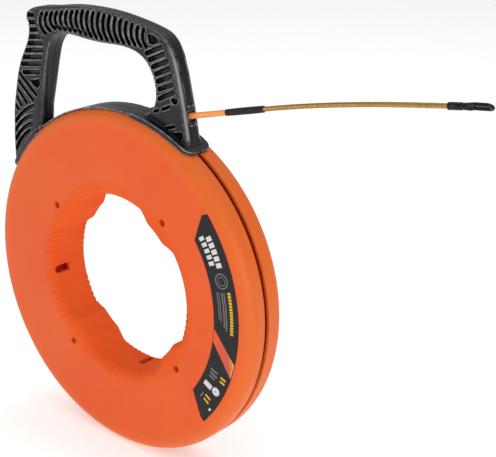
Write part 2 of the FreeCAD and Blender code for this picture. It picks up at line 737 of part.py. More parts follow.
make_case()
make_case_screws()
make_handle()
make_shoes()
make_handle_screws()
make_bushing()
make_tape()
make_coil()
make_anchor()
doc.recompute()

problems = [item.Name for item in doc.Objects if {"Invalid", "Error"} & set(item.State)]
problems += [thing.Label for thing in NODES if thing.Shape.isNull() or not thing.Shape.isValid()]
if problems:
    raise SystemExit(f"failed objects: {problems}")
os.makedirs("parts", exist_ok=True)
for thing in NODES:
    thing.Shape.exportStep(f"parts/{thing.Label}.step")
    box = thing.Shape.BoundBox
    print(f"{thing.Label:20s} {thing.Shape.Volume / 1000:9.2f} cm3  x {box.XMin:.1f}..{box.XMax:.1f}"
          f"  y {box.YMin:.1f}..{box.YMax:.1f}  z {box.ZMin:.1f}..{box.ZMax:.1f}")
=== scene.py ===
import math

import bmesh
import bpy
import numpy as np
from mathutils import Matrix, Vector


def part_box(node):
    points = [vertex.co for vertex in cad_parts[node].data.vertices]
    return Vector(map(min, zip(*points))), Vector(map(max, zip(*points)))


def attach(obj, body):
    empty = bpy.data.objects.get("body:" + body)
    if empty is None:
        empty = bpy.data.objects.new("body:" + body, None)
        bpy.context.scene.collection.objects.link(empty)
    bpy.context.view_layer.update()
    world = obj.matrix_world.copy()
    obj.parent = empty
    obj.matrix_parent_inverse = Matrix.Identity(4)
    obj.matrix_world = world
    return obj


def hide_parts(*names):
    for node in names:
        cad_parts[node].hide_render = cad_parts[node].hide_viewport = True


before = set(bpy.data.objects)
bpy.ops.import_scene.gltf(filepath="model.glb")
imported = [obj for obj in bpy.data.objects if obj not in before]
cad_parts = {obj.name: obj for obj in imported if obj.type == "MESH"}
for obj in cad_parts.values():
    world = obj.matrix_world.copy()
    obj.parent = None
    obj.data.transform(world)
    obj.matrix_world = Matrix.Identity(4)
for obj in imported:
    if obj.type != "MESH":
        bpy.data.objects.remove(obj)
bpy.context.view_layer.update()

MM = 0.001

# ------------------------------------------------------------ sizes read from the frame
case_low, case_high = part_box("case_rear_shell")
RADIUS = (case_high.z - case_low.z) / 2
HALF_DEPTH = case_high.y
SEAM = case_low.y
CENTRE = Vector((0, 0, RADIUS))

# ------------------------------------------------------------ case shape, metres and degrees
WALL = 2.5 * MM
BAY_RADIUS = 79.8 * MM
BUMP_RADIUS = 73.5 * MM
BAY_TURN = 5.75
BUMP_START = 28.5
BUMP_TOP = 37.0
BAY_ROUND = 7 * MM
RIM_ROUND = 10 * MM
HUB_WALL = 4 * MM
SLOT_HALF = 2.6 * MM
BOSS_CIRCLE = 90.44 * MM
RIB_HEIGHT = 0.45 * MM
RIB_PITCH = 3.8
RIB_GROUPS = [(97.5, 118), (152, 175.5), (195, 218), (250, 271), (281, 299), (-23, -2)]
SHELL_STEPS = 1440
BUMP_ANGLES = [45 + BAY_TURN + 90 * k for k in range(4)]
BAY_ANGLES = [BAY_TURN + 90 * k for k in range(4)]

# Route of the tape outside the handle, (x, z) from the case centre, as in the CAD source.
ROUTE = [(0.0750, 0.1587), (0.1280, 0.1716), (0.1820, 0.1843), (0.2360, 0.1943),
         (0.2740, 0.2001), (0.3020, 0.2040)]
TAPE_DIAMETER = 4.76 * MM
FREE_TAPE = 36 * MM
FERRULE_LENGTH = 38 * MM
LEADER_DIAMETER = 3.8 * MM
EYE_TILT = 38

# How far the label's printing reaches under and over the label's face.
PRINT_UNDER = 0.05 * MM
PRINT_OVER = 0.1 * MM

# Handle: half its thickness, and two edges of its outline that are rounded most,
# (x, z) from the case centre.
HANDLE_HALF = 8.5 * MM
FRONT_SIDE = [(0.0497, 0.2197), (0.0565, 0.2137), (0.0624, 0.2043), (0.0666, 0.1914),
              (0.0728, 0.1645), (0.0772, 0.1410)]
FRONT_ROUNDS = [(0.1400, 4.2 * MM), (0.2000, 4.2 * MM), (0.2197, 0.5 * MM)]
OPENING_SIDE = [(-0.0975, 0.1199), (-0.0955, 0.1395), (-0.0915, 0.1575), (-0.0870, 0.1795),
                (-0.0820, 0.1955), (-0.0765, 0.2025)]
OPENING_ROUNDS = [(0.1413, 5.2 * MM), (0.2025, 0.0)]


# ------------------------------------------------------------ camera
def make_camera():
    """The view from the right and above, aimed past the case so that the leader fits in."""
    azimuth = math.radians(39.62)
    elevation = math.radians(20.07)
    roll = math.radians(0.35)
    distance = 1.0165
    aim_right = 101.1 * MM
    aim_up = 43.4 * MM
    back = Vector((math.sin(azimuth) * math.cos(elevation),
                   -math.cos(azimuth) * math.cos(elevation), math.sin(elevation)))
    level_right = Vector((math.cos(azimuth), math.sin(azimuth), 0))
    level_up = back.cross(level_right)
    right = level_right * math.cos(roll) + level_up * math.sin(roll)
    up = level_up * math.cos(roll) - level_right * math.sin(roll)
    camera = bpy.data.objects.new("camera", bpy.data.cameras.new("camera"))
    bpy.context.scene.collection.objects.link(camera)
    camera.data.sensor_width = 36
    camera.data.lens = 84.62
    camera.data.clip_end = 100
    place = Matrix((right, up, back)).transposed().to_4x4()
    place.translation = CENTRE + right * aim_right + up * aim_up + back * distance
    camera.matrix_world = place
    bpy.context.scene.camera = camera


# ------------------------------------------------------------ mesh helpers
def link(name, mesh):
    """A new object in the scene that shows the mesh."""
    made = bpy.data.objects.new(name, mesh)
    bpy.context.scene.collection.objects.link(made)
    return made


def mesh_of(name, vertices, faces):
    mesh = bpy.data.meshes.new(name)
    mesh.from_pydata([tuple(v) for v in vertices], [], faces)
    mesh.update()
    return mesh


def tidy_normals(mesh, sharp_degrees=35):
    """Faces point outward and shade smooth, except across edges sharper than the angle."""
    bm = bmesh.new()
    bm.from_mesh(mesh)
    bmesh.ops.remove_doubles(bm, verts=bm.verts, dist=1e-6)
    bmesh.ops.recalc_face_normals(bm, faces=bm.faces)
    limit = math.radians(sharp_degrees)
    for edge in bm.edges:
        edge.smooth = len(edge.link_faces) == 2 and edge.calc_face_angle(0) < limit
    for face in bm.faces:
        face.smooth = True
    bm.to_mesh(mesh)
    bm.free()


def grid_faces(rows, columns, close_rows=False, close_columns=False):
    """Quads of a grid of points numbered row by row."""
    faces = []
    for i in range(rows if close_rows else rows - 1):
        for j in range(columns if close_columns else columns - 1):
            a = i * columns + j
            b = i * columns + (j + 1) % columns
            c = (i + 1) % rows * columns + (j + 1) % columns
            d = (i + 1) % rows * columns + j
            faces.append((a, b, c, d))
    return faces


def bar_faces(rows, columns):
    """Quads of a bar's side, and one face over each of its ends."""
    last = (rows - 1) * columns
    ends = [tuple(range(columns)), tuple(last + k for k in reversed(range(columns)))]
    return grid_faces(rows, columns, close_columns=True) + ends


def joined(name, parts):
    """One object of several parts, each given as its vertices and faces."""
    vertices = []
    faces = []
    for part_vertices, part_faces in parts:
        base = len(vertices)
        vertices += list(part_vertices)
        faces += [tuple(base + k for k in face) for face in part_faces]
    mesh = mesh_of(name, vertices, faces)
    tidy_normals(mesh)
    return link(name, mesh)


def smooth_step(value):
    """Share from 0 to 1 that starts and ends level."""
    share = np.clip(value, 0, 1)
    return share * share * (3 - 2 * share)


def around(radius, degrees, y):
    """Point of the case from its radius, its angle from +X towards +Z, and its depth."""
    angle = math.radians(degrees)
    return Vector((radius * math.cos(angle), y, RADIUS + radius * math.sin(angle)))


def finished(obj, name):
    """The object's mesh with its modifiers applied, in a new object."""
    graph = bpy.context.evaluated_depsgraph_get()
    mesh = bpy.data.meshes.new_from_object(obj.evaluated_get(graph))
    mesh.materials.clear()
    bpy.data.objects.remove(obj)
    return link(name, mesh)


def boolean(obj, tool, operation):
    """Join a tool to the object or cut it out, by a modifier."""
    cutter = obj.modifiers.new(operation.lower(), "BOOLEAN")
    cutter.object = tool
    cutter.operation = operation
    cutter.solver = "EXACT"


# ------------------------------------------------------------ tape route
def route_line():
    """Points of the centre line outside the handle, read from its spline."""
    curve = bpy.data.curves.new("route", "CURVE")
    curve.dimensions = "3D"
    curve.resolution_u = 40
    spline = curve.splines.new("NURBS")
    spline.points.add(len(ROUTE) - 1)
    for point, (x, z) in zip(spline.points, ROUTE):
        point.co = (x, SEAM, RADIUS + z, 1)
    spline.order_u = 3
    spline.use_endpoint_u = True
    holder = bpy.data.objects.new("route", curve)
    mesh = bpy.data.meshes.new_from_object(holder)
    line = np.array([v.co for v in mesh.vertices])
    bpy.data.objects.remove(holder)
    bpy.data.meshes.remove(mesh)
    return line


def distances(line):
    """Distance along the line of each of its points."""
    steps = np.linalg.norm(np.diff(line, axis=0), axis=1)
    return np.concatenate([[0], np.cumsum(steps)])


def points_at(line, wanted):
    """Points of the line at the wanted distances along it."""
    along = distances(line)
    return np.stack([np.interp(wanted, along, line[:, k]) for k in range(3)], axis=1)


def stretch(line, start, end, spacing):
    """Evenly spaced points of the line between two distances along it."""
    count = max(2, int(round((end - start) / spacing)) + 1)
    return points_at(line, np.linspace(start, end, count))


def swept(name, points, radius_at, segments=32):
    """A closed bar round a line that stays in the seam plane; radius_at(distance, turn) is its radius."""
    along = distances(points)
    tangents = np.gradient(points, axis=0)
    tangents /= np.linalg.norm(tangents, axis=1)[:, None]
    side = np.array([0.0, 1.0, 0.0])
    turns = np.linspace(0, 2 * math.pi, segments, endpoint=False)
    rings = []
    for point, tangent, distance in zip(points, tangents, along):
        up = np.cross(tangent, side)
        radii = np.broadcast_to(radius_at(distance, turns), turns.shape)
        outward = np.outer(np.cos(turns), side) + np.outer(np.sin(turns), up)
        rings.append(point + radii[:, None] * outward)
    mesh = mesh_of(name, np.concatenate(rings), bar_faces(len(points), segments))
    tidy_normals(mesh, 50)
    return link(name, mesh)


def rounded_ends(radius, length, round_size):
    """Radius along a bar whose two ends are rounded over."""
    def radius_at(distance, turns):
        inset = max(0.0, round_size - min(distance, length - distance))
        return radius - round_size + math.sqrt(max(round_size ** 2 - inset ** 2, 0.0))
    return radius_at


def with_ends(points, round_size, steps):
    """The same line with closer points near its ends, for a rounded end."""
    along = distances(points)
    length = along[-1]
    ease = round_size * (1 - np.cos(np.linspace(0, math.pi / 2, steps)))
    middle = along[(along > round_size * 1.2) & (along < length - round_size * 1.2)]
    return points_at(points, np.concatenate([ease, middle, length - ease[::-1]]))


def make_tape(line):
    """The free tape: a smooth glass-fibre rod out of the handle's window."""
    points = stretch(line, 0, FREE_TAPE, 1.5 * MM)
    tape = swept("free_tape", points, rounded_ends(TAPE_DIAMETER / 2, FREE_TAPE, 0.1 * MM))
    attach(tape, "tape")
    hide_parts("tape_free")
    return tape, points


def make_ferrule(line):
    """Black sleeve that joins tape and leader: its ends are swaged down, its middle barely swells."""
    radius = 2.8 * MM
    ends = 0.7 * MM
    points = with_ends(stretch(line, FREE_TAPE, FREE_TAPE + FERRULE_LENGTH, 0.6 * MM), ends, 7)
    base = rounded_ends(radius, FERRULE_LENGTH, ends)

    def radius_at(distance, turns):
        share = distance / FERRULE_LENGTH
        swell = 0.12 * MM * math.sin(math.pi * share)
        crimp = 0.0
        for place in (0.09, 0.90, 0.95):
            crimp += 0.20 * MM * math.exp(-((share - place) / 0.012) ** 2)
        wrinkle = 0.025 * MM * np.sin(3 * turns + 40 * share) * math.sin(math.pi * share)
        return base(distance, turns) - crimp + swell - 0.1 * MM + wrinkle

    ferrule = swept("ferrule_sleeve", points, radius_at)
    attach(ferrule, "tape")
    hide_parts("ferrule")
    return ferrule


def make_leader(line, end):
    """The spiral leader: flat brass wire wound close round its core, so its turns show as fine grooves."""
    start = FREE_TAPE + FERRULE_LENGTH
    pitch = 1.15 * MM
    groove = 0.05 * MM
    points = stretch(line, start, end, pitch / 7)

    def radius_at(distance, turns):
        phase = (distance / pitch - turns / (2 * math.pi)) % 1
        return LEADER_DIAMETER / 2 - groove * np.abs(2 * phase - 1) ** 5

    leader = swept("leader_winding", points, radius_at, 24)
    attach(leader, "tape")
    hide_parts("spiral_leader", "leader_core")
    return leader, points


def bar_mesh(points, radii, segments=20):
    """Plain bar through points with two radii at each, as vertices and faces."""
    points = [Vector(p) for p in points]
    vertices = []
    for k, point in enumerate(points):
        ahead = points[min(k + 1, len(points) - 1)] - points[max(k - 1, 0)]
        turn = ahead.to_track_quat("Z", "Y")
        for i in range(segments):
            angle = 2 * math.pi * i / segments
            wide, thick = radii[k]
            spot = Vector((wide * math.cos(angle), thick * math.sin(angle), 0))
            vertices.append(point + turn @ spot)
    return vertices, bar_faces(len(points), segments)


def one_skin(name, parts, voxel, rounds):
    """One closed skin round all the parts, with softly rounded edges."""
    rough = joined(name + "_rough", parts)
    skin = rough.modifiers.new("skin", "REMESH")
    skin.mode = "VOXEL"
    skin.voxel_size = voxel
    soft = rough.modifiers.new("soft", "SMOOTH")
    soft.factor = 0.5
    soft.iterations = rounds
    made = finished(rough, name)
    tidy_normals(made.data, 80)
    return made


def make_eye(line, end):
    """Pulling eye: a sleeve over the leader's end, a flattened neck and a long loop, turned a little.

    Its sizes are in millimetres, from the leader's end.
    """
    tip = stretch(line, end - MM, end, MM)
    along = Vector(tip[-1] - tip[0]).normalized()
    place = Matrix((along, Vector((0, 1, 0)), along.cross(Vector((0, 1, 0))))).transposed().to_4x4()
    place = place @ Matrix.Rotation(math.radians(-EYE_TILT), 4, "X")
    place.translation = Vector(tip[-1])

    def spot(x, y, z=0.0):
        return place @ Vector((x * MM, y * MM, z * MM))

    sleeve_half = 2.8
    rings = [(0.0, sleeve_half - 0.7), (0.15, sleeve_half - 0.25), (0.5, sleeve_half),
             (2.0, sleeve_half), (2.3, sleeve_half - 0.15), (2.6, sleeve_half),
             (9.6, sleeve_half - 0.05), (10.6, sleeve_half - 0.2), (11.0, sleeve_half - 0.8)]
    sleeve = bar_mesh([spot(x, 0) for x, _ in rings], [(r * MM, r * MM) for _, r in rings], 40)
    sleeve_mesh = mesh_of("eye_collar", *sleeve)
    tidy_normals(sleeve_mesh, 50)
    collar = link("eye_collar", sleeve_mesh)
    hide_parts("eye_sleeve")

    neck_rings = [(10.5, 2.2, 2.2), (12.0, 2.5, 2.5), (14.0, 2.6, 2.4), (16.5, 2.9, 1.9),
                  (19.5, 2.4, 1.2)]
    neck = bar_mesh([spot(x, 0) for x, _, _ in neck_rings],
                    [(z * MM, y * MM) for _, y, z in neck_rings])
    start_x, end_x, flare = 13.0, 29.4, 8.0
    narrow, half = 0.9, 3.0
    wire = 1.4 * MM
    path = [(start_x + flare * share, narrow + (half - narrow) * float(smooth_step(share)))
            for share in np.linspace(0, 1, 9)]
    path += [(end_x + half * math.sin(a), half * math.cos(a))
             for a in np.linspace(0, math.pi / 2, 9)]
    mirrored = [(x, -y) for x, y in reversed(path[:-1])]
    loop_points = [spot(x, y, 0.25 * math.sin((x - start_x) * 0.2)) for x, y in path + mirrored]
    loop = bar_mesh(loop_points, [(wire, wire)] * len(loop_points))
    eye = one_skin("pulling_eye_loop", [neck, loop], 0.22 * MM, 5)
    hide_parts("pulling_eye")
    for piece in (collar, eye):
        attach(piece, "tape")
    return collar, eye


# ------------------------------------------------------------ case shells
def hub_radius(degrees):
    """Radius of the centre opening: four wide bays between four bumps, with softened corners."""
    def straight(angle):
        away = np.abs((angle - BAY_TURN + 45) % 90 - 45)
        share = np.clip((away - BUMP_START) / (BUMP_TOP - BUMP_START), 0, 1)
        return BAY_RADIUS + (BUMP_RADIUS - BAY_RADIUS) * share
    return np.mean([straight(degrees + shift) for shift in np.linspace(-1.2, 1.2, 9)], axis=0)


def rib_wave(degrees):
    """Finger ribs in groups along the bays' edges."""
    turned = (degrees + 60) % 360 - 60
    inside = 0
    for start, end in RIB_GROUPS:
        inside = inside + smooth_step((turned - start) / 1.5) * smooth_step((end - turned) / 1.5)
    wave = np.abs(np.cos(math.pi * turned / RIB_PITCH)) * 2 - 1
    return RIB_HEIGHT * inside * wave


def corner(radius_centre, y_centre, round_size, start, end, count):
    """Points of a rounded corner in the (radius, y) plane with their outward directions."""
    points = []
    for angle in np.linspace(math.radians(start), math.radians(end), count):
        out = (math.cos(angle), math.sin(angle))
        points.append((radius_centre + round_size * out[0], y_centre + round_size * out[1], out))
    return points


def shell_profile(side):
    """Closed section of one shell: rows of (from_hub, radius, y, rib weight, outward direction)."""
    face = side * HALF_DEPTH
    inner_face = side * (HALF_DEPTH - WALL)
    lip = SEAM + side * SLOT_HALF
    lip_round = 0.5 * MM
    rows = []
    hub_end = face - side * BAY_ROUND
    for y in np.linspace(SEAM, hub_end, 9)[:-1]:
        near = smooth_step((abs(y - SEAM) / abs(hub_end - SEAM) - 0.55) / 0.45)
        rows.append((True, 0.0, y, near, (-1.0, 0.0)))
    rows += [(True, radius, y, 1.0, out) for radius, y, out
             in corner(BAY_ROUND, hub_end, BAY_ROUND, 180, 180 - side * 90, 13)]
    for radius in np.linspace(BAY_ROUND, BAY_ROUND + 5.5 * MM, 7)[1:]:
        fade = 1 - smooth_step((radius - BAY_ROUND) / (5 * MM))
        rows.append((True, radius, face, fade, (0.0, side)))
    rows += [(False, radius, face, 0.0, (0.0, side)) for radius
             in np.linspace(98 * MM, RADIUS - RIM_ROUND, 6)[:-1]]
    rim_y = face - side * RIM_ROUND
    rim = corner(RADIUS - RIM_ROUND, rim_y, RIM_ROUND, side * 90, 0, 14)
    rim += corner(RADIUS - lip_round, lip + side * lip_round, lip_round, 0, -side * 90, 6)
    rim.append((RADIUS - WALL, lip, (0.0, -side)))
    rim += corner(RADIUS - RIM_ROUND, rim_y, RIM_ROUND - WALL, 0, side * 90, 7)
    rows += [(False, radius, y, 0.0, out) for radius, y, out in rim]
    rows.append((True, HUB_WALL + 14 * MM, inner_face, 0.0, (0.0, -side)))
    rows.append((True, HUB_WALL, inner_face, 0.0, (0.0, -side)))
    rows.append((True, HUB_WALL, SEAM, 0.0, (1.0, 0.0)))
    return rows


def bosses(side):
    """The four posts inside a shell that take the case screws."""
    parts = []
    for degrees in BUMP_ANGLES:
        ends = [around(BOSS_CIRCLE, degrees, y) for y in (SEAM, side * (HALF_DEPTH - 0.5 * WALL))]
        parts.append(bar_mesh(ends, [(5.5 * MM, 5.5 * MM)] * 2, 32))
    return parts


def wells():
    """Screw wells in the front face, with a softened mouth and a hole for the screw's shank."""
    parts = []
    shape = [(1.0, 3.75), (0.0, 3.45), (-0.35, 3.1), (-0.9, 2.95), (-8.0, 2.85), (-8.05, 1.75),
             (-21.0, 1.7)]
    for degrees in BUMP_ANGLES:
        points = [around(BOSS_CIRCLE, degrees, -HALF_DEPTH - height * MM) for height, _ in shape]
        parts.append(bar_mesh(points, [(r * MM, r * MM) for _, r in shape], 36))
    return parts


def windows(side):
    """View windows in the hub wall, open at the seam.

    Left and right they are in the front shell, at the top and bottom in the rear one.
    """
    half = 3.7 * MM
    length = 12.7 * MM
    past_wall = 3 * MM
    seam_end = SEAM - side * 0.5 * MM
    outline = [(-half, seam_end)]
    outline += [(-half * math.cos(a), SEAM + side * (length + half * math.sin(a)))
                for a in np.linspace(0, math.pi, 13)]
    outline.append((half, seam_end))
    parts = []
    for degrees in BAY_ANGLES[(side + 1) // 2::2]:
        angle = math.radians(degrees)
        out = Vector((math.cos(angle), 0, math.sin(angle)))
        across = Vector((-math.sin(angle), 0, math.cos(angle)))
        vertices = []
        for reach in (BAY_RADIUS - past_wall, BAY_RADIUS + HUB_WALL + past_wall):
            vertices += [CENTRE + out * reach + across * w + Vector((0, y, 0)) for w, y in outline]
        parts.append((vertices, bar_faces(2, len(outline))))
    return parts


def label_recess():
    """The label's own outline, pushed a little outward, as a shallow cutter."""
    outline = label_outline(0.35 * MM)
    vertices = [Vector((x, y, RADIUS + z)) for y in (-HALF_DEPTH - MM, -HALF_DEPTH + 0.5 * MM)
                for x, z in outline]
    return vertices, bar_faces(2, len(outline))


def label_outline(grow):
    """Crescent between two arcs, blunt at its upper end and slanted at its lower one, as (x, z)."""
    inner = 113.3 * MM - grow
    outer = 139.0 * MM + grow
    ring = [(inner, a) for a in np.linspace(-37.8, 34.6, 49)]
    ring += [(outer - 6 * MM, 40.8), (outer - 3 * MM, 40.5)]
    ring += [(outer, a) for a in np.linspace(39.8, -43.3, 56)]
    ring.append((outer - 5 * MM, -43.3))
    return [(r * math.cos(math.radians(a)), r * math.sin(math.radians(a))) for r, a in ring]


def make_shell(side, name, node):
    """One case shell: its turned section, with posts added, and windows, wells and recess cut out."""
    degrees = np.arange(SHELL_STEPS) * 360 / SHELL_STEPS
    hub = hub_radius(degrees)
    ribs = rib_wave(degrees)
    cos, sin = np.cos(np.radians(degrees)), np.sin(np.radians(degrees))
    rings = []
    for from_hub, radius, y, weight, out in shell_profile(side):
        reach = hub * from_hub + radius + ribs * weight * out[0]
        depth = y + ribs * weight * out[1]
        rings.append(np.stack([reach * cos, depth + 0 * cos, RADIUS + reach * sin], axis=1))
    faces = grid_faces(len(rings), SHELL_STEPS, close_rows=True, close_columns=True)
    rough = joined(name + "_rough", [(np.concatenate(rings), faces)])
    posts = joined(name + "_posts", bosses(side))
    boolean(rough, posts, "UNION")
    cuts = windows(side)
    if side < 0:
        cuts += wells() + [label_recess()]
    cutter = joined(name + "_cuts", cuts)
    boolean(rough, cutter, "DIFFERENCE")
    shell = finished(rough, name)
    for tool in (posts, cutter):
        bpy.data.objects.remove(tool)
    tidy_normals(shell.data, 30)
    weigh = shell.modifiers.new("flat faces stay flat", "WEIGHTED_NORMAL")
    weigh.keep_sharp = True
    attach(shell, "case")
    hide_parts(node)
    return shell


# ------------------------------------------------------------ label prints
def patch(inner, outer, start, end, slant=0.0):
    """A printed bar between two radii and two angles, as a thin closed slab; slant skews it."""
    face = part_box("front_label")[0].y
    rows = max(2, int(abs(end - start)) + 1)
    vertices = []
    for y in (face - PRINT_UNDER, face + PRINT_OVER):
        for share in np.linspace(0, 1, rows):
            angle = start + (end - start) * share
            vertices.append(around(inner * MM, angle, y))
            vertices.append(around(outer * MM, angle + slant, y))
    front = grid_faces(rows, 2)
    base = rows * 2
    back = [tuple(base + k for k in reversed(face_ids)) for face_ids in front]
    rim = [0] + [2 * k + 1 for k in range(rows)] + [2 * k for k in reversed(range(1, rows))]
    sides = [(a, b, base + b, base + a) for a, b in zip(rim, rim[1:] + rim[:1])]
    return vertices, front + back + sides


def ring_patch(radius, degrees, outer, inner):
    """A printed ring or disc with its centre on the label."""
    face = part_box("front_label")[0].y
    middle = around(radius * MM, degrees, 0)
    count = 40
    vertices = []
    for y in (face - PRINT_UNDER, face + PRINT_OVER):
        for reach in (inner * MM, outer * MM):
            for k in range(count):
                angle = 2 * math.pi * k / count
                vertices.append(Vector((middle.x + reach * math.cos(angle), y,
                                        middle.z + reach * math.sin(angle))))
    faces = []
    for a, b in ((0, 1), (1, 3), (3, 2), (2, 0)):
        for k in range(count):
            follow = (k + 1) % count
            faces.append((a * count + k, a * count + follow, b * count + follow, b * count + k))
    return vertices, faces


def make_prints(finishes):
    """Plain bars, rings and a stripe where the label carries its printing."""
    rows = [patch(125.4, 131.2, start, start - 1.8) for start in np.arange(33.4, 22.0, -2.5)]
    rows += [patch(118.4, 123.8, start, start - 1.6) for start in np.arange(34.6, 23.5, -2.5)]
    captions = [patch(130.4, 133.6, start, start - 0.85) for start in np.arange(12.6, -3.0, -1.15)]
    prints = {
        "print_white": rows + [
            ring_patch(131.0, -28.8, 3.9, 0.6), patch(117.5, 126.0, -28.0, -30.4),
            patch(134.6, 136.6, -36.6, -37.8)],
        "print_grey": [ring_patch(126.6, 16.7, 6.6, 5.6), ring_patch(126.6, 16.7, 3.9, 3.3),
                       patch(126.0, 127.2, 12.4, -2.4), patch(123.6, 124.8, 12.4, -1.4),
                       patch(120.6, 121.4, 12.4, 0.5), patch(118.6, 119.4, 12.4, 1.5),
                       patch(118.0, 125.5, -21.2, -22.0), patch(118.4, 126.4, -22.9, -23.7),
                       patch(119.0, 125.0, -24.5, -25.2), patch(121.6, 122.6, -33.6, -36.6)],
        "print_yellow": captions + [
            patch(129.4, 135.0, -21.5, -22.3), patch(130.2, 135.4, -23.1, -23.9),
            patch(124.6, 130.8, -33.4, -34.2), patch(125.4, 131.6, -35.4, -36.2)],
        "print_stripe": [patch(113.6, 138.6, -3.4, -9.2, -10.4)],
    }
    made = []
    for name, parts in prints.items():
        mark = joined(name, parts)
        mark.data.materials.append(finishes[name])
        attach(mark, "case")
        made.append(mark)
    return made


# ------------------------------------------------------------ handle
def mesh_data(node):
    """Vertices and faces of a CAD node."""
    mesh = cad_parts[node].data
    return [v.co.copy() for v in mesh.vertices], [tuple(p.vertices) for p in mesh.polygons]


def edge_distance(line, x, z):
    """Distance of points from an edge of the handle's outline."""
    nearest = np.full(len(x), 1.0)
    for (x0, z0), (x1, z1) in zip(line, line[1:]):
        span = (x1 - x0) ** 2 + (z1 - z0) ** 2
        share = np.clip(((x - x0) * (x1 - x0) + (z - z0) * (z1 - z0)) / span, 0, 1)
        away = np.hypot(x - x0 - share * (x1 - x0), z - z0 - share * (z1 - z0))
        nearest = np.minimum(nearest, away)
    return nearest


def ease_edge(mesh, line, rounds):
    """Widen the round along an edge of the handle; rounds gives its size at heights above the centre.

    Returns how near each vertex is to the middle of that round, from 0 to 1.
    """
    spots = np.array([v.co for v in mesh.vertices])
    x, z = spots[:, 0], spots[:, 2] - RADIUS
    round_size = np.interp(z, *zip(*rounds))
    inset = np.clip(round_size - edge_distance(line, x, z), 0, None)
    drop = round_size - np.sqrt(np.clip(round_size ** 2 - inset ** 2, 0, None))
    from_seam = np.abs(spots[:, 1] - SEAM)
    spots[:, 1] = SEAM + (spots[:, 1] - SEAM) * (1 - drop / HANDLE_HALF)
    mesh.vertices.foreach_set("co", spots.ravel())
    mesh.update()
    across = inset / np.maximum(round_size, 0.1 * MM)
    return np.exp(-((across - 0.8) / 0.22) ** 2) * smooth_step((from_seam - 6.6 * MM) / (1.4 * MM))


def box_part(low_x, high_x, low_y, high_y, low_z, high_z):
    """Box in case-centred millimetres, as vertices and faces."""
    corners = [Vector((x * MM, y * MM, RADIUS + z * MM))
               for x in (low_x, high_x) for y in (low_y, high_y) for z in (low_z, high_z)]
    return corners, [(0, 1, 3, 2), (4, 6, 7, 5), (0, 4, 5, 1), (2, 3, 7, 6), (0, 2, 6, 4),
                     (1, 5, 7, 3)]


def make_handle_half(side, name, node):
    """A moulded half: the CAD form with every edge softened, and a raised bar above and below the window."""
    low_y, high_y = sorted((SEAM / MM, SEAM / MM + side * 5.2))
    bars = [box_part(71.0, 73.2, low_y, high_y, 165.6, 166.9),
            box_part(74.0, 76.1, low_y, high_y, 150.6, 151.9)]
    half = one_skin(name, [mesh_data(node)] + bars, 0.5 * MM, 3)
    ease_edge(half.data, OPENING_SIDE, OPENING_ROUNDS)
    # Painted highlight: how near each vertex is to the middle of the front leg's outer round is kept on the
    # mesh, and it lightens the colour there.
    painted_edge_highlight = ease_edge(half.data, FRONT_SIDE, FRONT_ROUNDS)
    half.data.attributes.new("painted_edge_highlight", "FLOAT", "POINT").data.foreach_set("value", painted_edge_highlight)
    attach(half, "handle")
    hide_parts(node)
    return half


# ------------------------------------------------------------ stored tape
def make_coil():
    """Turns of stored tape, side by side and in layers, seen through the windows and the rim slot."""
    low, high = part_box("tape_coil")
    outer = (high.z - low.z) / 2
    inner = 108 * MM
    radius = TAPE_DIAMETER / 2
    across = int((high.y - low.y) / TAPE_DIAMETER)
    layers = int((outer - inner) / TAPE_DIAMETER)
    pitch = (high.y - low.y) / across
    profile = [(outer - radius, low.y + pitch * (k + 0.5)) for k in range(across)]
    profile += [(outer - radius - k * TAPE_DIAMETER, high.y - pitch / 2) for k in range(1, layers)]
    profile += [(inner + radius, high.y - pitch * (k + 0.5)) for k in range(1, across)]
    profile += [(inner + radius + k * TAPE_DIAMETER, low.y + pitch / 2)
                for k in range(1, layers - 1)]
    steps = 240
    rings = []
    middle_radius = (outer + inner) / 2
    middle_y = (low.y + high.y) / 2
    for index, (centre_radius, y) in enumerate(profile):
        before = profile[index - 1]
        after = profile[(index + 1) % len(profile)]
        chord = np.array([after[0] - before[0], after[1] - before[1]])
        chord /= np.linalg.norm(chord)
        out = np.array([-chord[1], chord[0]])
        if out @ np.array([centre_radius - middle_radius, y - middle_y]) < 0:
            out = -out
        for angle in np.linspace(-1.25, 1.25, 7):
            reach = out * math.cos(angle) + chord * math.sin(angle)
            rings.append((centre_radius + radius * reach[0], y + radius * reach[1]))
    turns = np.linspace(0, 2 * math.pi, steps, endpoint=False)
    vertices = []
    for ring_radius, y in rings:
        vertices += [Vector((ring_radius * math.cos(t), y, RADIUS + ring_radius * math.sin(t)))
                     for t in turns]
    faces = grid_faces(len(rings), steps, close_rows=True, close_columns=True)
    mesh = mesh_of("stored_tape", vertices, faces)
    tidy_normals(mesh, 50)
    coil = link("stored_tape", mesh)
    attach(coil, "case")
    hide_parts("tape_coil")
    return coil


# ------------------------------------------------------------ materials
def tone(red, green, blue):
    """Linear colour from 0-255 display values."""
    def linear(value):
        share = value / 255
        return share / 12.92 if share <= 0.04045 else ((share + 0.055) / 1.055) ** 2.4
    return (linear(red), linear(green), linear(blue), 1.0)


